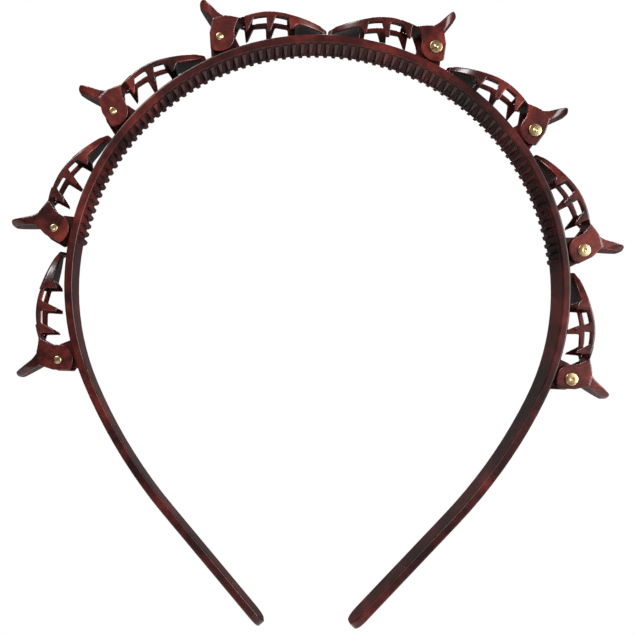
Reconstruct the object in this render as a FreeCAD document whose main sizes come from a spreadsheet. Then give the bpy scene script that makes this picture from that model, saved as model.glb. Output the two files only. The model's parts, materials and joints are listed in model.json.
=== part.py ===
import FreeCAD, Part
import math
import os
import re

import Sketcher
from FreeCAD import Placement, Rotation, Vector

# A plastic headband with eight sprung claw clips riveted to its outer face, four on each side.
# Frame: X to the wearer's side, Y across the band's width, Z up. The origin is the centre of the
# crown arc, at the middle of the band's width. Millimetres and degrees throughout.
#
# A clip is drawn in its own frame, with the rivet's axis at the origin: x runs along the closed
# jaw to its nose, z points away from the head and y lies along the rivet, towards its big head.

SIZES = {
    # band
    "band_width": 11.0,
    "band_thick": 2.1,
    "crown_radius": 62.2,         # outer face of the crown arc
    "crown_half_angle": 115.0,    # from the top to where the arm begins
    "shoulder_radius": 125.0,
    "shoulder_turn": 17.0,
    "arm_straight": 36.0,
    "arm_corner": 3.5,            # rounding of an arm's end, seen from the side
    "band_edge_round": 0.45,
    # comb on the inner face
    "ridge_steps": 40,            # ridges on each side of the middle one
    "ridge_pitch": 2.03,          # degrees
    "ridge_reach": 1.6,           # at the middle of the band's width
    "ridge_root": 1.3,
    "ridge_tip": 0.5,
    # clip places
    "clip_count": 4,              # on each side
    "clip_first": 27.66,          # from the top to the first rivet, along the rivets' circle
    "clip_pitch": 32.52,          # from one rivet to the next, along the same circle
    "pin_rise": 4.1,              # rivet axis above the band's outer face
    "nose_gap": 0.12,             # between a closed jaw's nose and the band
    # rivet
    "shank_radius": 0.85,
    "head_radius": 1.6,
    "head_thick": 0.5,
    "peen_radius": 0.98,
    "peen_thick": 0.3,
    "rivet_play": 0.05,           # radial, in the lugs
    "rivet_grip": 0.0,            # radial, in the cheeks that clamp the rivet
    # lugs
    "lug_gap": 0.15,              # between a lug and the cheek beside it
    "lug_thick": 1.0,
    "lug_crest": 2.1,             # radius of the lug's top round the rivet
    "lug_front": 3.6,
    "lug_front_drop": 1.6,
    "lug_rear": 2.1,
    "lug_heel": 3.3,
    "lug_sink": 0.6,              # how far the lug runs into the band
    # jaw
    "jaw_width": 9.6,
    "wall": 0.9,
    "top_thick": 0.75,
    "shoulder_drop": 1.0,         # the top falls this much towards the walls
    "shoulder_width": 2.8,
    "lever_width": 7.6,
    "lever_thick": 1.3,
    "cheek_gap": 0.4,             # from the round of a cheek to the band
    "cheek_radius": "=pin_rise - cheek_gap",
    "cheek_rear": 2.5,            # flat rear edge of the cheeks, behind the rivet
    "jaw_length": 26.95,
    "crest_place": 12.0,
    "crest_rise": 6.3,
    "saddle_place": 3.3,
    "saddle_rise": 4.95,
    "block_drop": 1.3,            # from the saddle down to the underside behind the rivet
    "spine_rib": 1.3,             # rib along the middle of the slotted top
    "slot_start": 8.8,
    "slot_end": 17.4,
    "nose_start": 19.6,
    "nose_half": 1.5,
    "nose_drop": 1.65,            # how far the tip hooks down below the rivet's level
    "tooth_pitch": 5.5,
    "tooth_first": 6.5,
    "tooth_root": 4.15,
    "tooth_tip": 0.6,
    # spring
    "wire": 0.45,
    "coil_play": 0.175,           # radial, between the rivet's shank and the wire
    "coil_turns": 5,
    "coil_pitch": 0.55,
    "leg_gap": 0.1,               # between a leg's end and what it presses on
}


def make_sheet(doc):
    sheet = doc.addObject("Spreadsheet::Sheet", "Sizes")
    for row, (alias, value) in enumerate(SIZES.items(), start=1):
        sheet.set("A%d" % row, alias.replace("_", " "))
        sheet.set("B%d" % row, str(value))
        sheet.setAlias("B%d" % row, alias)
    doc.recompute()
    return sheet


def cell(text):
    """Turn plain size names in an expression into references to the sheet."""
    return re.sub(r"[a-z]\w*", lambda m: "Sizes." + m[0] if m[0] in SIZES else m[0], text)


def bind(feature, prop, text):
    feature.setExpression(prop, cell(text))


def origin_feature(body, role):
    return next(o for o in body.Origin.OriginFeatures if o.Role == role)


def new_sketch(body, name, plane, offset="0"):
    sketch = body.newObject("Sketcher::SketchObject", name)
    sketch.AttachmentSupport = [(origin_feature(body, plane), "")]
    sketch.MapMode = "FlatFace"
    bind(sketch, ".AttachmentOffset.Base.z", offset)
    return sketch


def place_point(sketch, geo, pos, x_text, y_text):
    """Hold one vertex at a place worked out from the sheet."""
    for kind, text in (("DistanceX", x_text), ("DistanceY", y_text)):
        value = float(sketch.evalExpression(cell(text)))
        number = sketch.addConstraint(Sketcher.Constraint(kind, -1, 1, geo, pos, value))
        bind(sketch, "Constraints[%d]" % number, text)


def draw_outline(sketch, corners):
    """Closed outline through corners (x, y) or (x, y, radius): an arc of that radius arrives there,
    turning left for a positive radius and right for a negative one."""
    value = lambda text: float(sketch.evalExpression(cell(text)))
    spots = [Vector(value(c[0]), value(c[1]), 0) for c in corners]
    edges = []
    for i, corner in enumerate(corners):
        start, end = spots[i - 1], spots[i]
        if len(corner) == 2:
            edges.append((sketch.addGeometry(Part.LineSegment(start, end), False), 1, 2))
            continue
        radius = value(corner[2])
        chord = end - start
        side = Vector(-chord.y, chord.x, 0).normalize()
        sag = math.sqrt(radius ** 2 - (chord.Length / 2) ** 2) * math.copysign(1, radius)
        centre = (start + end) * 0.5 + side * sag
        a0 = math.atan2(start.y - centre.y, start.x - centre.x)
        a1 = math.atan2(end.y - centre.y, end.x - centre.x)
        circle = Part.Circle(centre, Vector(0, 0, 1), abs(radius))
        if radius > 0:
            edge = (sketch.addGeometry(Part.ArcOfCircle(circle, a0, a1), False), 1, 2)
        else:
            edge = (sketch.addGeometry(Part.ArcOfCircle(circle, a1, a0), False), 2, 1)
        number = sketch.addConstraint(Sketcher.Constraint("Radius", edge[0], abs(radius)))
        bind(sketch, "Constraints[%d]" % number, "abs(%s)" % corner[2])
        edges.append(edge)
    for i, (geo, first, last) in enumerate(edges):
        place_point(sketch, geo, last, corners[i][0], corners[i][1])
        before, _, before_last = edges[i - 1]
        sketch.addConstraint(Sketcher.Constraint("Coincident", before, before_last, geo, first))


def draw_circle(sketch, radius, x_text="0", y_text="0"):
    value = float(sketch.evalExpression(cell(radius)))
    geo = sketch.addGeometry(Part.Circle(Vector(0, 0, 0), Vector(0, 0, 1), value), False)
    number = sketch.addConstraint(Sketcher.Constraint("Radius", geo, value))
    bind(sketch, "Constraints[%d]" % number, radius)
    place_point(sketch, geo, 3, x_text, y_text)


def pad(body, sketch, length, midplane=True, reverse=False):
    feature = body.newObject("PartDesign::Pad", sketch.Name + "_pad")
    feature.Profile = sketch
    feature.Midplane = midplane
    feature.Reversed = reverse
    bind(feature, "Length", length)
    return feature


def cut(body, sketch, length, midplane=True, reverse=False, along=None):
    """Pocket a sketch, square to it or along a direction, and check that it takes material away."""
    body.Document.recompute()
    before = body.Shape.Volume
    feature = body.newObject("PartDesign::Pocket", sketch.Name + "_cut")
    feature.Profile = sketch
    feature.Midplane = midplane
    feature.Reversed = reverse
    bind(feature, "Length", length)
    if along:
        feature.UseCustomVector = True
        feature.AlongSketchNormal = False
        feature.Direction = Vector(along[0], along[1], float(sketch.evalExpression(cell(along[2]))))
    body.Document.recompute()
    if body.Shape.Volume > before - 1e-3:
        raise RuntimeError(sketch.Name + " cuts nothing")
    return feature


def repeat_round(body, features, name, count, angle, reverse):
    """Polar pattern about the rivets' common direction, +Y through the crown's centre."""
    pattern = body.newObject("PartDesign::PolarPattern", name)
    pattern.Originals = features
    pattern.Axis = (origin_feature(body, "Y_Axis"), [""])
    pattern.Reversed = reverse
    bind(pattern, "Occurrences", count)
    bind(pattern, "Angle", angle)
    body.Tip = pattern
    return pattern


# ---------------------------------------------------------------- band

def arm_path(sketch):
    """Middle line of half the band: crown arc, shoulder arc and straight arm, each tangent to the last."""
    size = lambda text: float(sketch.evalExpression(cell(text)))
    middle = "(crown_radius - band_thick / 2)"
    half, turn = "crown_half_angle", "shoulder_turn"
    bend = "(shoulder_radius - band_thick / 2)"
    x1 = "%s * sin( %s * 1deg )" % (middle, half)
    y1 = "%s * cos( %s * 1deg )" % (middle, half)
    x2 = "%s - %s * ( sin( %s * 1deg ) - sin( ( %s + %s ) * 1deg ) )" % (x1, bend, half, half, turn)
    y2 = "%s - %s * ( cos( %s * 1deg ) - cos( ( %s + %s ) * 1deg ) )" % (y1, bend, half, half, turn)
    x3 = "%s + arm_straight * cos( ( %s + %s ) * 1deg )" % (x2, half, turn)
    y3 = "%s - arm_straight * sin( ( %s + %s ) * 1deg )" % (y2, half, turn)
    top, knee, hip, end = [Vector(size(x), size(y), 0)
                           for x, y in (("0", middle), (x1, y1), (x2, y2), (x3, y3))]
    half_turn = math.radians(size(half))
    arc_end = math.pi / 2
    crown = Part.ArcOfCircle(Part.Circle(Vector(0, 0, 0), Vector(0, 0, 1), size(middle)),
                             arc_end - half_turn, arc_end)
    shoulder_centre = knee - knee * (size(bend) / size(middle))
    shoulder = Part.ArcOfCircle(Part.Circle(shoulder_centre, Vector(0, 0, 1), size(bend)),
                                arc_end - half_turn - math.radians(size(turn)), arc_end - half_turn)
    for geometry in (crown, shoulder, Part.LineSegment(hip, end)):
        sketch.addGeometry(geometry, False)
    for geo, radius in ((0, middle), (1, bend)):
        number = sketch.addConstraint(Sketcher.Constraint("Radius", geo, size(radius)))
        bind(sketch, "Constraints[%d]" % number, radius)
    sketch.addConstraint(Sketcher.Constraint("Coincident", 0, 1, 1, 2))
    sketch.addConstraint(Sketcher.Constraint("Coincident", 1, 1, 2, 1))
    place_point(sketch, 0, 2, "0", middle)
    place_point(sketch, 0, 1, x1, y1)
    place_point(sketch, 1, 1, x2, y2)
    place_point(sketch, 2, 2, x3, y3)


def round_edges(body, name, radius, wanted):
    """Fillet the edges of the tip shape that pass a test on the edge."""
    body.Document.recompute()
    base = body.Tip
    names = ["Edge%d" % (i + 1) for i, edge in enumerate(base.Shape.Edges) if wanted(edge)]
    if not names:
        raise RuntimeError(name + " finds no edge")
    feature = body.newObject("PartDesign::Fillet", name)
    feature.Base = (base, names)
    bind(feature, "Radius", radius)
    body.Document.recompute()
    return feature


def lug_corner(side, along, out):
    """Sketch place of a point given along the band's tangent (towards the top) and outwards from a rivet."""
    turn = "( clip_first / ( crown_radius + pin_rise ) * 1rad )"
    rise = "( crown_radius + pin_rise + %s )" % out
    x = "%d * ( %s * sin%s - ( %s ) * cos%s )" % (side, rise, turn, along, turn)
    y = "%s * cos%s + ( %s ) * sin%s" % (rise, turn, along, turn)
    return x, y


def add_lugs(body, side):
    """The two lugs of the first clip on one side, repeated along that side."""
    floor = "( 0 - pin_rise - lug_sink )"
    corners = [lug_corner(side, "0 - lug_heel", floor),
               lug_corner(side, "lug_front + 0.3", floor),
               lug_corner(side, "lug_front", "( 0 - lug_front_drop )"),
               lug_corner(side, "lug_crest * cos( 55deg )", "lug_crest * sin( 55deg )"),
               lug_corner(side, "0 - lug_crest * cos( 20deg )", "lug_crest * sin( 20deg )")
               + ("%d * lug_crest" % -side,),
               lug_corner(side, "0 - lug_rear", "( 0 - lug_crest * 0.5 )")]
    pads = []
    for face, back in (("front", False), ("back", True)):
        name = "%s_lug_%s" % ("right" if side > 0 else "left", face)
        inner = "( jaw_width / 2 - wall - lug_gap - lug_thick )"
        offset = inner if not back else "0 - " + inner
        sketch = new_sketch(body, name, "XZ_Plane", offset)
        draw_outline(sketch, corners)
        draw_circle(sketch, "shank_radius + rivet_play", *lug_corner(side, "0", "0"))
        pads.append(pad(body, sketch, "lug_thick", midplane=False, reverse=back))
    body.Document.recompute()
    repeat_round(body, pads, "%s_lugs" % ("right" if side > 0 else "left"), "clip_count",
                 "clip_pitch * ( clip_count - 1 ) / ( crown_radius + pin_rise ) * 180 / pi", side < 0)


def make_band(doc):
    body = doc.addObject("PartDesign::Body", "band")
    section = new_sketch(body, "band_section", "YZ_Plane")
    edge, inner = "band_width / 2", "( crown_radius - band_thick )"
    draw_outline(section, [("0 - " + edge, inner), (edge, inner), (edge, "crown_radius"),
                           ("0 - " + edge, "crown_radius")])
    path = new_sketch(body, "band_path", "XZ_Plane")
    arm_path(path)
    doc.recompute()
    strip = body.newObject("PartDesign::AdditivePipe", "half_strip")
    strip.Profile = section
    strip.Spine = (path, ["Edge1", "Edge2", "Edge3"])
    doc.recompute()
    mirror = body.newObject("PartDesign::Mirrored", "whole_strip")
    mirror.Originals = [strip]
    mirror.MirrorPlane = (origin_feature(body, "YZ_Plane"), [""])
    body.Tip = mirror
    doc.recompute()
    across = SIZES["band_thick"] * 1.01
    low = -SIZES["crown_radius"]
    round_edges(body, "arm_ends", "arm_corner",
                lambda e: e.Length < across and e.CenterOfMass.z < low)
    round_edges(body, "soft_edges", "band_edge_round",
                lambda e: abs(e.BoundBox.YLength) < 1e-4 or e.CenterOfMass.z < low)
    ridge = new_sketch(body, "ridge", "XZ_Plane")
    draw_outline(ridge, [("0 - ridge_root / 2", inner + " + 0.3"),
                         ("0 - ridge_tip / 2", inner + " - ridge_reach + 0.2"),
                         ("ridge_tip / 2", inner + " - ridge_reach + 0.2", "ridge_tip * 0.75"),
                         ("ridge_root / 2", inner + " + 0.3")])
    first = pad(body, ridge, "band_width - 2 * band_edge_round")
    doc.recompute()
    for name, reverse in (("ridges_right", False), ("ridges_left", True)):
        repeat_round(body, [first], name, "ridge_steps + 1", "ridge_pitch * ridge_steps", reverse)
        doc.recompute()
    crown = new_sketch(body, "ridge_crown", "YZ_Plane")
    reach, side = "( %s - ridge_reach )" % inner, "( band_width / 2 )"
    bow = "( ( ( band_width / 2 ) ^ 2 + ridge_reach ^ 2 ) / ( 2 * ridge_reach ) )"
    draw_outline(crown, [("0 - " + side, inner, "0 - " + bow), ("0 - " + side, reach + " - 2"),
                         (side, reach + " - 2"), (side, inner), ("0", reach, "0 - " + bow)])
    before = body.Shape.Volume
    groove = body.newObject("PartDesign::Groove", "crowned_ridges")
    groove.Profile = crown
    groove.ReferenceAxis = (crown, ["H_Axis"])
    groove.Angle = 360
    doc.recompute()
    if body.Shape.Volume > before - 1:
        raise RuntimeError("the ridges are not crowned")
    for side in (1, -1):
        add_lugs(body, side)
        doc.recompute()
    return body


# ---------------------------------------------------------------- clip

def side_outline(sketch):
    """Side view of the jaw without its lever: slotted top, walls with teeth, and cheeks."""
    tooth = "( tooth_first + %d * tooth_pitch )"
    low = "( 0 - sqrt( cheek_radius ^ 2 - cheek_rear ^ 2 ) )"
    corners = [("0 - 1.3", "saddle_rise - 0.35"),
               ("0 - cheek_rear + 0.1", "1.2"),
               ("0 - cheek_rear", low),
               ("cheek_radius * cos( 6deg )", "0 - cheek_radius * sin( 6deg )", "cheek_radius"),
               ("cheek_radius", "1.2"),
               ("cheek_radius + 0.4", "2.3"),
               ("5.2", "tooth_root + 0.3"),
               (tooth % 0, "tooth_root + 0.15"),
               (tooth % 0 + " + 0.1", "tooth_tip + 0.2"),
               (tooth % 0 + " + 0.8", "tooth_tip + 0.7"),
               (tooth % 0 + " + 2.4", "tooth_root"),
               (tooth % 1, "tooth_root"),
               (tooth % 1 + " - 0.2", "tooth_tip - 0.2"),
               (tooth % 1 + " + 0.7", "tooth_tip - 0.2"),
               (tooth % 1 + " + 2.4", "tooth_root"),
               (tooth % 2, "tooth_root - 0.8"),
               (tooth % 2, "tooth_tip - 0.1"),
               (tooth % 2 + " + 0.8", "tooth_tip"),
               ("nose_start", "1.55"),
               ("jaw_length - 1.3", "0 - 0.1"),
               ("jaw_length - 0.95", "0.11 - nose_drop"),
               ("jaw_length - 0.4", "0.11 - nose_drop", "0.4"),
               ("jaw_length", "0.2"),
               ("jaw_length - 0.4", "0.75", "0.5"),
               ("18.0", "5.05", "38"),
               ("crest_place", "crest_rise", "18"),
               ("saddle_place + 2.2", "saddle_rise + 0.3", "20"),
               ("saddle_place - 1.4", "saddle_rise + 0.25", "0 - 5.5")]
    draw_outline(sketch, corners)


def slope_shoulders(body, name):
    """Slope the top down to each wall: the space above the top is cut outwards and downwards."""
    for label, side in (("front", -1), ("back", 1)):
        sketch = new_sketch(body, "%s_%s" % (name, label), "XZ_Plane",
                            "%d * ( jaw_width / 2 - shoulder_width )" % -side)
        draw_outline(sketch, [("jaw_length + 0.5", "crest_rise + 3"), ("jaw_length + 0.5", "0.5"),
                              ("jaw_length - 0.4", "0.75"),
                              ("18.0", "5.05", "38"),
                              ("crest_place", "crest_rise", "18"),
                              ("saddle_place + 2.2", "saddle_rise + 0.3", "20"),
                              ("saddle_place - 1.2", "saddle_rise + 0.25 + shoulder_drop"),
                              ("saddle_place - 1.2", "crest_rise + 3")])
        cut(body, sketch, "1.2 * shoulder_width", midplane=False,
                      along=(0, side, "0 - shoulder_drop / shoulder_width"))


def make_jaw(doc, name):
    body = doc.addObject("PartDesign::Body", name)
    side = new_sketch(body, name + "_side", "XZ_Plane")
    side_outline(side)
    pad(body, side, "jaw_width")
    slope_shoulders(body, name + "_shoulder")
    lever = new_sketch(body, name + "_lever", "XZ_Plane")
    draw_outline(lever, [("0 - 1.2", "saddle_rise - 0.9"), ("2.4", "saddle_rise - 0.5"),
                         ("1.9", "saddle_rise + 0.25"),
                         ("0", "saddle_rise + 1.65", "0 - 8"),
                         ("0 - 2.85", "saddle_rise + 5.15"),
                         ("0 - 4.1", "saddle_rise + 4.05", "lever_thick * 0.66"),
                         ("0 - 1.45", "saddle_rise - 0.3")])
    pad(body, lever, "lever_width")
    doc.recompute()
    channel = new_sketch(body, name + "_channel", "XZ_Plane")
    draw_outline(channel, [("0 - 4", "saddle_rise - block_drop"), ("0 - 4", "0 - 5"), ("nose_start - 0.6", "0 - 5"),
                           ("nose_start - 0.6", "crest_rise - 2.75"), ("18.0 - 0.3", "5.05 - top_thick", "40"),
                           ("crest_place", "crest_rise - top_thick", "18"),
                           ("saddle_place + 2.2", "saddle_rise + 0.3 - top_thick", "20"),
                           ("saddle_place - 1.4", "saddle_rise - 0.1 - top_thick", "0 - 6")])
    cut(body, channel, "jaw_width - 2 * wall")
    slots = new_sketch(body, name + "_slots", "XY_Plane", "saddle_rise - 1.3")
    near, far = "spine_rib / 2", "( jaw_width / 2 - wall )"
    for sign in ("", "0 - "):
        draw_outline(slots, [("slot_start", sign + near), ("slot_end", sign + near),
                             ("slot_end", sign + far), ("slot_start", sign + far)])
    cut(body, slots, "crest_rise", midplane=False, reverse=True)
    plan = new_sketch(body, name + "_plan", "XY_Plane")
    half = "( jaw_width / 2 )"
    for sign, bulge in (("", "0 - "), ("0 - ", "")):
        draw_outline(plan, [("nose_start - 1", sign + half),
                            ("jaw_length - 1.0", sign + "nose_half", bulge + "13"),
                            ("jaw_length + 0.2", sign + "0.4", bulge + "1.7"),
                            ("jaw_length + 3", sign + "0.4"), ("jaw_length + 3", sign + "( %s + 1 )" % half),
                            ("nose_start - 1", sign + "( %s + 1 )" % half)])
    cut(body, plan, "40")
    tongue = new_sketch(body, name + "_tongue", "XY_Plane", "saddle_rise + 0.3")
    blade = "( lever_width / 2 )"
    for sign in ("", "0 - "):
        draw_outline(tongue, [("0 - 1.6", sign + blade), ("0 - 4.4", sign + "0.6", sign + "3.6"),
                              ("0 - 6", sign + "0.6"), ("0 - 6", sign + "( %s + 1 )" % blade),
                              ("0 - 1.6", sign + "( %s + 1 )" % blade)])
    cut(body, tongue, "12", midplane=False, reverse=True)
    hole = new_sketch(body, name + "_hole", "XZ_Plane")
    draw_circle(hole, "shank_radius + rivet_grip")
    cut(body, hole, "jaw_width + 2")
    return body


def make_rivet(doc, name):
    """Turned rivet: shank, low domed head at +y and a small peened end at -y."""
    body = doc.addObject("PartDesign::Body", name)
    sketch = new_sketch(body, name + "_half", "XY_Plane")
    top, low = "( jaw_width / 2 )", "0 - jaw_width / 2"
    draw_outline(sketch, [("0", low + " - peen_thick"), ("peen_radius * 0.7", low + " - peen_thick"),
                          ("peen_radius", low, "peen_radius * 0.7"), ("shank_radius", low),
                          ("shank_radius", top), ("head_radius", top),
                          ("head_radius", top + " + head_thick * 0.4"),
                          ("head_radius * 0.55", top + " + head_thick", "head_radius * 0.9"),
                          ("0", top + " + head_thick * 0.8", "0 - head_radius * 3")])
    turned = body.newObject("PartDesign::Revolution", name + "_turned")
    turned.Profile = sketch
    turned.ReferenceAxis = (sketch, ["V_Axis"])
    turned.Angle = 360
    return body


def closed_dip(sheet):
    """Angle in degrees from the band's tangent down to a closed jaw, whose nose rests on the band."""
    reach = sheet.crown_radius + sheet.pin_rise
    nose = Vector(sheet.jaw_length - 0.675, -sheet.nose_drop)
    rest = sheet.crown_radius + sheet.nose_gap
    lean = (nose.Length ** 2 + reach ** 2 - rest ** 2) / (2 * reach * nose.Length)
    return math.degrees(math.asin(lean) + math.atan2(nose.y, nose.x))


def clip_placement(sheet, side, index):
    """Place of a clip: its rivet on the rivets' circle, its closed jaw dipping to the band.
    Right-hand clips are left-hand ones turned half way round Z."""
    reach = sheet.crown_radius + sheet.pin_rise
    station = math.degrees((sheet.clip_first + sheet.clip_pitch * index) / reach)
    turn = Rotation(Vector(0, 1, 0), closed_dip(sheet) - station)
    spot = Vector(-reach * math.sin(math.radians(station)), 0, reach * math.cos(math.radians(station)))
    left = Placement(spot, turn)
    return left if side == "left" else Placement(Vector(), Rotation(Vector(0, 0, 1), 180)) * left


def make_spring(doc, name, sheet):
    """Torsion spring: a coil round the rivet, one leg straight down to the band and one straight up
    to the jaw, behind the rivet."""
    turns = sheet.coil_turns + closed_dip(sheet) / 360
    coil_radius = sheet.shank_radius + sheet.coil_play + sheet.wire / 2
    coil = Part.makeHelix(sheet.coil_pitch, turns * sheet.coil_pitch, coil_radius)
    coil.rotate(Vector(), Vector(1, 0, 0), -90)
    coil.rotate(Vector(), Vector(0, 1, 0), -180 - closed_dip(sheet))
    coil.translate(Vector(0, -turns * sheet.coil_pitch / 2, 0))
    helix = coil.Edges[0]
    start, finish = helix.valueAt(helix.FirstParameter), helix.valueAt(helix.LastParameter)
    down = -helix.tangentAt(helix.FirstParameter).normalize()
    foot = start + down * (sheet.pin_rise - sheet.leg_gap)
    top = finish + Vector(0, 0, sheet.saddle_rise - sheet.block_drop - sheet.leg_gap)
    path = [Part.LineSegment(foot, start).toShape(), helix, Part.LineSegment(finish, top).toShape()]
    section = Part.Wire([Part.Circle(foot, down, sheet.wire / 2).toShape()])
    spring = doc.addObject("Part::Feature", name)
    spring.Shape = Part.Wire(path).makePipeShell([section], True, False)
    return spring


def check(doc, parts):
    """Stop if any object failed, or if a sub-part is not one or more valid solids."""
    failed = [o.Name for o in doc.Objects if "Invalid" in o.State or "Error" in o.State]
    if failed:
        raise RuntimeError("failed objects: " + ", ".join(failed))
    for part in parts:
        if part.Shape.isNull() or not part.Shape.isValid() or len(part.Shape.Solids) != 1:
            raise RuntimeError(part.Label + " is not one valid solid")


def main():
    doc = FreeCAD.newDocument("headband")
    sheet = make_sheet(doc)
    parts = [make_band(doc)]
    for side in ("left", "right"):
        for index in range(int(sheet.clip_count)):
            place = clip_placement(sheet, side, index)
            for kind, build in (("jaw", make_jaw), ("rivet", make_rivet)):
                parts.append(build(doc, "%s_%s_%d" % (kind, side, index + 1)))
                parts[-1].Placement = place
            parts.append(make_spring(doc, "spring_%s_%d" % (side, index + 1), sheet))
            parts[-1].Placement = place
    for part in parts:
        part.Label = part.Name
    doc.recompute()
    check(doc, parts)
    os.makedirs("parts", exist_ok=True)
    for part in parts:
        part.Shape.exportStep("parts/%s.step" % part.Label)
        print(part.Label, round(part.Shape.Volume, 2), "mm3")


main()
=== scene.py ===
import bpy
import json
import math
import numpy as np
from mathutils import Matrix, Vector


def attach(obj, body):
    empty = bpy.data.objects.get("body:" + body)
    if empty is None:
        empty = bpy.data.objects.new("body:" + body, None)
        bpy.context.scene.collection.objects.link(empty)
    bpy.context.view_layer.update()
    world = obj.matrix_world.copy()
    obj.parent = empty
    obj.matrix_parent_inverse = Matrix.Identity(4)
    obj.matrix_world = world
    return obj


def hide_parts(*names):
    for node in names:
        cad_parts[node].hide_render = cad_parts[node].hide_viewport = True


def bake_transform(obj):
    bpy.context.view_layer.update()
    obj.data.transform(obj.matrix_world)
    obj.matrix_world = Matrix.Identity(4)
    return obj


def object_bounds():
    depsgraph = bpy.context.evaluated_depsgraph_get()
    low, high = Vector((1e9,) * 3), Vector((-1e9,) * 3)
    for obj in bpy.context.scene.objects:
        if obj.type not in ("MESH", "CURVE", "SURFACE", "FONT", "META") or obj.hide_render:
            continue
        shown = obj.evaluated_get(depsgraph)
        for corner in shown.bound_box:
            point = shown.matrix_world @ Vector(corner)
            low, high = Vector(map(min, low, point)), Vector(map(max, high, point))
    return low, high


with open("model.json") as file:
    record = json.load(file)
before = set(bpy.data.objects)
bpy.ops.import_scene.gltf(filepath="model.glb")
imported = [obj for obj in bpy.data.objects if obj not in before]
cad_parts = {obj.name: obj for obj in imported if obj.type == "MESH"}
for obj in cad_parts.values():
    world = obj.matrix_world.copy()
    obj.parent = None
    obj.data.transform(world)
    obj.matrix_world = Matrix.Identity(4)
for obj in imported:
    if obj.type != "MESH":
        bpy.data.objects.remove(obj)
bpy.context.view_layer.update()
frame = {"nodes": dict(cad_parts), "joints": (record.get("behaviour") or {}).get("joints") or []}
nodes = frame["nodes"]
joints = {j["child"]: j for j in frame["joints"]}
mm = 0.001
sides = ("left", "right")
clipNames = [f"{side}_{n}" for side in sides for n in (1, 2, 3, 4)]
print("frame loaded:", len(nodes), "nodes,", len(joints), "hinges")


# materials

def newMaterial(name):
    mat = bpy.data.materials.new(name)
    mat.use_nodes = True
    tree = mat.node_tree
    return mat, tree, tree.nodes["Principled BSDF"]


def node(tree, kind, **values):
    made = tree.nodes.new(kind)
    for key, value in values.items():
        if key in made.inputs:
            made.inputs[key].default_value = value
        else:
            setattr(made, key, value)
    return made


def noise(tree, coords, scale, detail, roughness=0.5, distortion=0.0):
    made = node(tree, "ShaderNodeTexNoise", Scale=scale, Detail=detail, Roughness=roughness, Distortion=distortion)
    tree.links.new(coords, made.inputs["Vector"])
    return made.outputs["Fac"]


def ramp(tree, fac, stops, interpolation="LINEAR"):
    made = tree.nodes.new("ShaderNodeValToRGB")
    made.color_ramp.interpolation = interpolation
    elements = made.color_ramp.elements
    while len(elements) < len(stops):
        elements.new(0.5)
    for element, (place, colour) in zip(elements, stops):
        element.position = place
        element.color = (*colour, 1.0)
    tree.links.new(fac, made.inputs["Fac"])
    return made.outputs["Color"]


def multiplied(tree, amount, base, over):
    # one colour darkened or lifted by another; 6, 7 and 2 are the mix node's colour sockets
    made = tree.nodes.new("ShaderNodeMix")
    made.data_type = "RGBA"
    made.blend_type = "MULTIPLY"
    made.inputs[0].default_value = amount
    tree.links.new(base, made.inputs[6])
    tree.links.new(over, made.inputs[7])
    return made.outputs[2]


def roughBy(tree, shader, value, low, high):
    # roughness runs from low to high with a noise value
    rub = node(tree, "ShaderNodeMapRange")
    rub.inputs["To Min"].default_value, rub.inputs["To Max"].default_value = low, high
    tree.links.new(value, rub.inputs["Value"])
    tree.links.new(rub.outputs["Result"], shader.inputs["Roughness"])


def bumpBy(tree, shader, height, strength, distance):
    made = node(tree, "ShaderNodeBump", Strength=strength, Distance=distance)
    tree.links.new(height, made.inputs["Height"])
    tree.links.new(made.outputs["Normal"], shader.inputs["Normal"])


bandShell = {
    "cloudScale": 95, "fleckScale": 420, "streakStretch": 0.35,
    "dark": (0.014, 0.0028, 0.0026), "middle": (0.036, 0.0056, 0.0048), "amber": (0.084, 0.0120, 0.0086),
    "specular": 0.22, "gloss": (0.27, 0.40), "coat": 0.06, "glow": 0.05, "ripple": 0.000008,
}  # colours run from the dark clouds to the amber ones; gloss is lowest and highest roughness
clipShell = {
    "cloudScale": 120, "fleckScale": 520, "streakStretch": 0.6,
    "dark": (0.020, 0.0042, 0.0036), "middle": (0.058, 0.0088, 0.0070), "amber": (0.125, 0.0190, 0.0130),
    "specular": 0.32, "gloss": (0.22, 0.34), "coat": 0.12, "glow": 0.10, "ripple": 0.000008,
}


def tortoiseshell(name, look):
    mat, tree, shader = newMaterial(name)
    coords = node(tree, "ShaderNodeTexCoord").outputs["Object"]
    stretched = node(tree, "ShaderNodeMapping", Scale=(1.0, look["streakStretch"], 1.0))
    tree.links.new(coords, stretched.inputs["Vector"])
    clouds = noise(tree, stretched.outputs["Vector"], look["cloudScale"], 4, 0.55, 0.6)
    flecks = noise(tree, coords, look["fleckScale"], 3, 0.6, 0.3)
    body = ramp(tree, clouds, [(0.34, look["dark"]), (0.50, look["middle"]), (0.70, look["amber"])], "EASE")
    fleck = ramp(tree, flecks, [(0.38, (0.55, 0.50, 0.50)), (0.58, (1.0, 1.0, 1.0)), (0.74, (1.35, 1.15, 1.05))])
    tree.links.new(multiplied(tree, 0.75, body, fleck), shader.inputs["Base Color"])
    roughBy(tree, shader, noise(tree, coords, 900, 5, 0.65), *look["gloss"])
    bumpBy(tree, shader, noise(tree, coords, 260, 3, 0.5), 0.35, look["ripple"])
    shader.inputs["Subsurface Weight"].default_value = look["glow"]
    shader.inputs["Subsurface Radius"].default_value = (1.0, 0.16, 0.08)
    shader.inputs["Subsurface Scale"].default_value = 0.0012
    shader.inputs["Specular IOR Level"].default_value = look["specular"]
    shader.inputs["IOR"].default_value = 1.49
    shader.inputs["Coat Weight"].default_value = look["coat"]
    shader.inputs["Coat Roughness"].default_value = 0.06
    return mat


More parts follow.
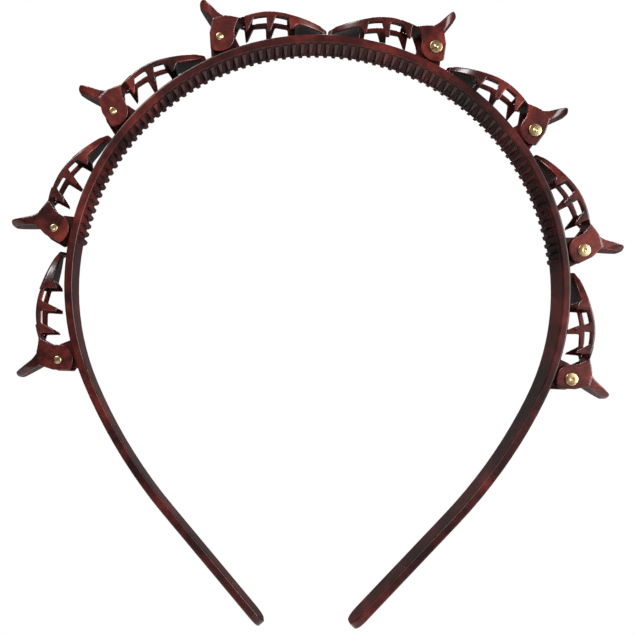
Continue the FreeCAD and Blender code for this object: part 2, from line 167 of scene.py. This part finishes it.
brassLook = {
    "aged": (0.22, 0.14, 0.07), "bright": (0.50, 0.36, 0.19), "pale": (0.66, 0.53, 0.34),
    "roughness": (0.24, 0.42), "dentDepth": 0.00002,
}


def turnedBrass(name):
    mat, tree, shader = newMaterial(name)
    coords = node(tree, "ShaderNodeTexCoord").outputs["Object"]
    stain = noise(tree, coords, 900, 5, 0.65, 0.4)
    colour = ramp(tree, stain, [(0.36, brassLook["aged"]), (0.56, brassLook["bright"]), (0.80, brassLook["pale"])])
    tree.links.new(colour, shader.inputs["Base Color"])
    roughBy(tree, shader, noise(tree, coords, 2600, 4, 0.6), *brassLook["roughness"])
    bumpBy(tree, shader, noise(tree, coords, 1800, 3, 0.5), 0.3, brassLook["dentDepth"])
    shader.inputs["Metallic"].default_value = 1.0
    return mat


steelLook = {"dull": (0.34, 0.33, 0.31), "bright": (0.60, 0.59, 0.56), "roughness": (0.25, 0.40)}


def drawnSteel(name):
    mat, tree, shader = newMaterial(name)
    coords = node(tree, "ShaderNodeTexCoord").outputs["Object"]
    grain = noise(tree, coords, 2200, 4, 0.7)
    colour = ramp(tree, grain, [(0.35, steelLook["dull"]), (0.65, steelLook["bright"])])
    tree.links.new(colour, shader.inputs["Base Color"])
    roughBy(tree, shader, grain, *steelLook["roughness"])
    shader.inputs["Metallic"].default_value = 1.0
    return mat


bandMaterial = tortoiseshell("tortoiseshellBand", bandShell)
clipMaterial = tortoiseshell("tortoiseshellClip", clipShell)
brassMaterial = turnedBrass("turnedBrass")
steelMaterial = drawnSteel("drawnSpringSteel")
print("materials made")


# helpers for surfaces

def gridFaces(rows, columns):
    # quads between a row of points and the next, each row closed into a ring
    r, c = np.meshgrid(np.arange(rows - 1), np.arange(columns), indexing="ij")
    c2 = (c + 1) % columns
    quads = np.stack([r * columns + c, r * columns + c2, (r + 1) * columns + c2, (r + 1) * columns + c], -1)
    return quads.reshape(-1, 4)


def meshPiece(name, points, quads, material, body):
    mesh = bpy.data.meshes.new(name)
    mesh.vertices.add(len(points))
    mesh.vertices.foreach_set("co", np.asarray(points, np.float32).ravel())
    mesh.loops.add(quads.size)
    mesh.loops.foreach_set("vertex_index", quads.astype(np.int32).ravel())
    mesh.polygons.add(len(quads))
    mesh.polygons.foreach_set("loop_start", np.arange(0, quads.size, 4, dtype=np.int32))
    mesh.update(calc_edges=True)
    mesh.validate()
    mesh.shade_smooth()
    mesh.materials.append(material)
    piece = bpy.data.objects.new(name, mesh)
    bpy.context.scene.collection.objects.link(piece)
    if body:
        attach(piece, body)
    return piece


def clipMatrix(name):
    # clip's own frame: x along the closed jaw, y along the rivet towards its big head, z away from the head
    x, y, z = joints["clip_" + name]["pos_m"]
    station = math.atan2(abs(x), z)
    turn = Matrix.Rotation(jawLook["dip"] - station, 4, "Y")
    left = Matrix.Translation((-abs(x), y, z)) @ turn
    return left if name.startswith("left") else Matrix.Rotation(math.pi, 4, "Z") @ left


def moved(points, matrix):
    m = np.array(matrix)
    return points @ m[:3, :3].T + m[:3, 3]


# jaws: the moulded shape with soft edges, as a mould leaves them

jawLook = {"dip": math.radians(16.51), "cell": 0.17, "softening": 0.5, "passes": 4}


def softJaw(name):
    # the solid is cut into small even cells in its own frame, then its corners are eased
    source = nodes["jaw_" + name]
    place = clipMatrix(name)
    mesh = source.data.copy()
    mesh.transform(Matrix.Scale(1 / mm, 4) @ place.inverted())
    piece = bpy.data.objects.new("softJaw_" + name, mesh)
    bpy.context.scene.collection.objects.link(piece)
    weld = piece.modifiers.new("weld", "WELD")
    weld.merge_threshold = 0.001
    cells = piece.modifiers.new("cells", "REMESH")
    cells.mode, cells.voxel_size, cells.adaptivity = "VOXEL", jawLook["cell"], 0.0
    ease = piece.modifiers.new("ease", "SMOOTH")
    ease.factor, ease.iterations = jawLook["softening"], jawLook["passes"]
    depsgraph = bpy.context.evaluated_depsgraph_get()
    made = bpy.data.meshes.new_from_object(piece.evaluated_get(depsgraph))
    piece.modifiers.clear()
    piece.data = made
    made.transform(place @ Matrix.Scale(mm, 4))
    made.materials.clear()
    made.materials.append(clipMaterial)
    made.shade_smooth()
    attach(piece, "clip_" + name)
    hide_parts("jaw_" + name)
    return piece


jaws = [softJaw(name) for name in clipNames]
print("jaws made:", len(jaws), "of", len(jaws[0].data.polygons), "faces")


# rivets: a profile turned round the rivet's own line

rivetLook = {
    "sides": 56, "headSeat": 4.8, "headRadius": 1.6, "headRise": 0.5, "rimRound": 0.2, "rimRise": 0.28,
    "rimTopRise": 0.14, "dimpleRadius": 0.62, "dimpleDepth": 0.26, "shank": 0.84, "tuck": 0.02,
    "peenRadius": 0.98, "peenRise": 0.3, "peenFlat": 0.62, "peenHollow": 0.28,
}


def rivetProfile():
    # radius and height along the rivet: a hollowed peen whose edge is a quarter circle, a straight shank, and a
    # head whose rim is a quarter circle below and above, crowned as a parabola with a cosine dimple in the middle
    look = rivetLook
    low, seat = -look["headSeat"], look["headSeat"]
    flat, rimRound = look["peenFlat"], look["rimRound"]
    face = look["headRadius"] - rimRound
    t = np.linspace(0, math.pi / 2, 8)
    peen = np.stack([look["peenRadius"] * (flat + (1 - flat) * np.sin(t)), low - look["peenRise"] * np.cos(t)], 1)
    hollow = np.linspace(0, 1, 7)[:-1]
    sunk = 1 - look["peenHollow"] + look["peenHollow"] * hollow ** 2
    tip = np.stack([flat * look["peenRadius"] * hollow, low - look["peenRise"] * sunk], 1)
    shank = np.array([[look["shank"], low + look["tuck"]], [look["shank"], 0.0], [look["shank"], seat - look["tuck"]]])
    rimHeight = seat + look["rimRise"]
    rim = np.stack([face + rimRound * np.sin(t), rimHeight - rimRound * np.cos(t)], 1)
    rimTop = np.stack([face + rimRound * np.cos(t), rimHeight + look["rimTopRise"] * np.sin(t)], 1)[1:]
    r = np.linspace(face, 0, 22)[1:]
    edge = look["rimRise"] + look["rimTopRise"]
    crown = seat + edge + (look["headRise"] - edge) * (1 - (r / face) ** 2)
    dimple = look["dimpleDepth"] * 0.5 * (1 + np.cos(np.clip(r / look["dimpleRadius"], 0, 1) * math.pi))
    top = np.stack([r, crown - dimple], 1)
    under = np.array([[face, seat + look["tuck"]]])
    return np.concatenate([tip, peen, shank, under, rim[1:], rimTop, top])


def turnedRivet(name):
    # each profile point goes round the rivet: radius times sine and cosine of the angle, at its own height
    profile = rivetProfile()
    angle = np.linspace(0, 2 * math.pi, rivetLook["sides"], endpoint=False)
    r, h = profile[:, :1], profile[:, 1:]
    points = np.stack([r * np.sin(angle), h + 0 * angle, r * np.cos(angle)], -1).reshape(-1, 3) * mm
    piece = meshPiece("turnedRivet_" + name, moved(points, clipMatrix(name)),
                      gridFaces(len(profile), len(angle)), brassMaterial, "clip_" + name)
    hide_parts("rivet_" + name)
    return piece


rivets = [turnedRivet(name) for name in clipNames]
print("rivets made:", len(rivets))


# springs: wire carried along a path of leg, coil and leg

springLook = {
    "wire": 0.225, "coil": 1.25, "turns": 5, "pitch": 0.55, "lowerLeg": 4.0, "upperLeg": 3.55, "twistHalf": 1.2,
    "coilPoints": 170, "legPoints": 14, "capRings": 5, "sides": 12,
}


def springPath():
    # points in the clip's frame: a straight leg up from the band, a helix round the rivet whose height grows
    # evenly with its angle, and a straight leg up to the jaw
    look = springLook
    turns = look["turns"] + jawLook["dip"] / (2 * math.pi)
    first = -math.pi - jawLook["dip"]
    a = np.linspace(first, first + turns * 2 * math.pi, look["coilPoints"])
    half = look["pitch"] * turns / 2
    coil = np.stack([look["coil"] * np.cos(a), np.linspace(-half, half, len(a)), -look["coil"] * np.sin(a)], 1)
    down = np.array([math.sin(a[0]), 0, math.cos(a[0])])
    lower = coil[0] + down * look["lowerLeg"] * np.linspace(1, 0, look["legPoints"])[:-1, None]
    upper = coil[-1] + np.array([0, 0, 1.0]) * look["upperLeg"] * np.linspace(0, 1, look["legPoints"])[1:, None]
    return np.concatenate([lower, coil, upper])


def woundSpring(name):
    # a ring of the wire's radius stands square across the path at every point
    path = springPath()
    tangent = np.gradient(path, axis=0)
    tangent /= np.linalg.norm(tangent, axis=1, keepdims=True)
    across = np.array([0, 1.0, 0]) - tangent * tangent[:, 1:2]
    across /= np.linalg.norm(across, axis=1, keepdims=True)
    third = np.cross(tangent, across)
    # wire ends are rounded: the last rings shrink as a quarter circle does
    caps = np.radians(np.linspace(90, 0, springLook["capRings"]))
    radius = springLook["wire"]
    shrink = np.concatenate([np.cos(caps[:-1]), np.ones(len(path)), np.cos(caps[::-1][1:])])
    head = path[0] - tangent[0] * radius * np.sin(caps[:-1])[:, None] * 0.999
    tail = path[-1] + tangent[-1] * radius * np.sin(caps[::-1][1:])[:, None] * 0.999
    middle = np.concatenate([head, path, tail])
    pick = np.clip(np.arange(len(middle)) - (len(caps) - 1), 0, len(path) - 1)
    angle = np.linspace(0, 2 * math.pi, springLook["sides"], endpoint=False)
    ring = across[pick][:, None] * np.cos(angle)[None, :, None] + third[pick][:, None] * np.sin(angle)[None, :, None]
    points = (middle[:, None] + ring * (radius * shrink)[:, None, None]).reshape(-1, 3) * mm
    place = clipMatrix(name)
    piece = meshPiece("woundSpring_" + name, moved(points, place), gridFaces(len(middle), len(angle)),
                      steelMaterial, None)
    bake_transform(piece)
    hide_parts("spring_" + name)
    return piece


springs = [woundSpring(name) for name in clipNames]
print("springs made:", len(springs))

nodes["band"].data.materials.clear()
nodes["band"].data.materials.append(bandMaterial)


# floor, light and camera

studio = {
    "floor": (0.86, 0.86, 0.85), "floorSize": 0.30, "floorSides": 96, "drop": 0.08, "room": 0.10, "backdrop": 1.0,
    "key": {"place": (-0.35, -0.45, 0.55), "size": 0.30, "power": 8.2},
    "fill": {"place": (0.55, -0.45, 0.10), "size": 0.45, "power": 8.0},
    "rear": {"place": (0.1, 0.6, 0.5), "size": 0.5, "power": 5},
}


def makeStudio():
    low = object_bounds()[0].z - studio["drop"]
    size = studio["floorSize"]
    mesh = bpy.data.meshes.new("paleFloor")
    sides = studio["floorSides"]
    angle = np.linspace(0, 2 * math.pi, sides, endpoint=False)
    rim = np.stack([size * np.cos(angle), size * np.sin(angle), np.full(sides, low)], 1)
    mesh.from_pydata(rim.tolist(), [], [tuple(range(sides))])
    floor = bpy.data.objects.new("paleFloor", mesh)
    bpy.context.scene.collection.objects.link(floor)
    mat, tree, shader = newMaterial("palePaper")
    shader.inputs["Base Color"].default_value = (*studio["floor"], 1)
    shader.inputs["Roughness"].default_value = 0.9
    mesh.materials.append(mat)
    world = bpy.data.worlds.new("softRoom")
    bpy.context.scene.world = world
    world.use_nodes = True
    tree = world.node_tree
    tree.nodes.clear()
    out = tree.nodes.new("ShaderNodeOutputWorld")
    path = tree.nodes.new("ShaderNodeLightPath")
    seen = node(tree, "ShaderNodeBackground", Color=(1, 1, 1, 1), Strength=studio["backdrop"])
    room = node(tree, "ShaderNodeBackground", Color=(0.97, 0.98, 1, 1), Strength=studio["room"])
    mix = tree.nodes.new("ShaderNodeMixShader")
    tree.links.new(path.outputs["Is Camera Ray"], mix.inputs["Fac"])
    tree.links.new(room.outputs[0], mix.inputs[1])
    tree.links.new(seen.outputs[0], mix.inputs[2])
    tree.links.new(mix.outputs[0], out.inputs["Surface"])


def softLight(name):
    # a round lamp that looks at the middle of the band
    look = studio[name]
    lamp = bpy.data.lights.new(name, "AREA")
    lamp.shape, lamp.size, lamp.energy = "DISK", look["size"], look["power"]
    holder = bpy.data.objects.new(name, lamp)
    holder.location = look["place"]
    holder.rotation_mode = "QUATERNION"
    holder.rotation_quaternion = (-Vector(look["place"])).to_track_quat("-Z", "Y")
    bpy.context.scene.collection.objects.link(holder)


cameraLook = {
    "place": (-18.05, -266.8, -29.35), "lens": 60.9, "sensor": 36, "shift": (0.06, 0.067),
    "yaw": -1.94, "pitch": 2.32, "roll": 2.11,
}


def makeCamera():
    data = bpy.data.cameras.new("camera")
    data.lens, data.sensor_width = cameraLook["lens"], cameraLook["sensor"]
    data.shift_x, data.shift_y = cameraLook["shift"]
    data.clip_start, data.clip_end = 0.01, 20
    camera = bpy.data.objects.new("camera", data)
    bpy.context.scene.collection.objects.link(camera)
    turn = (Matrix.Rotation(math.radians(cameraLook["yaw"]), 4, "Z")
            @ Matrix.Rotation(math.radians(90 + cameraLook["pitch"]), 4, "X")
            @ Matrix.Rotation(math.radians(cameraLook["roll"]), 4, "Z"))
    camera.matrix_world = Matrix.Translation(Vector(cameraLook["place"]) * mm) @ turn
    bpy.context.scene.camera = camera


makeStudio()
for lampName in ("key", "fill", "rear"):
    softLight(lampName)
makeCamera()
bpy.context.scene.view_settings.view_transform = "Standard"
print("studio set")
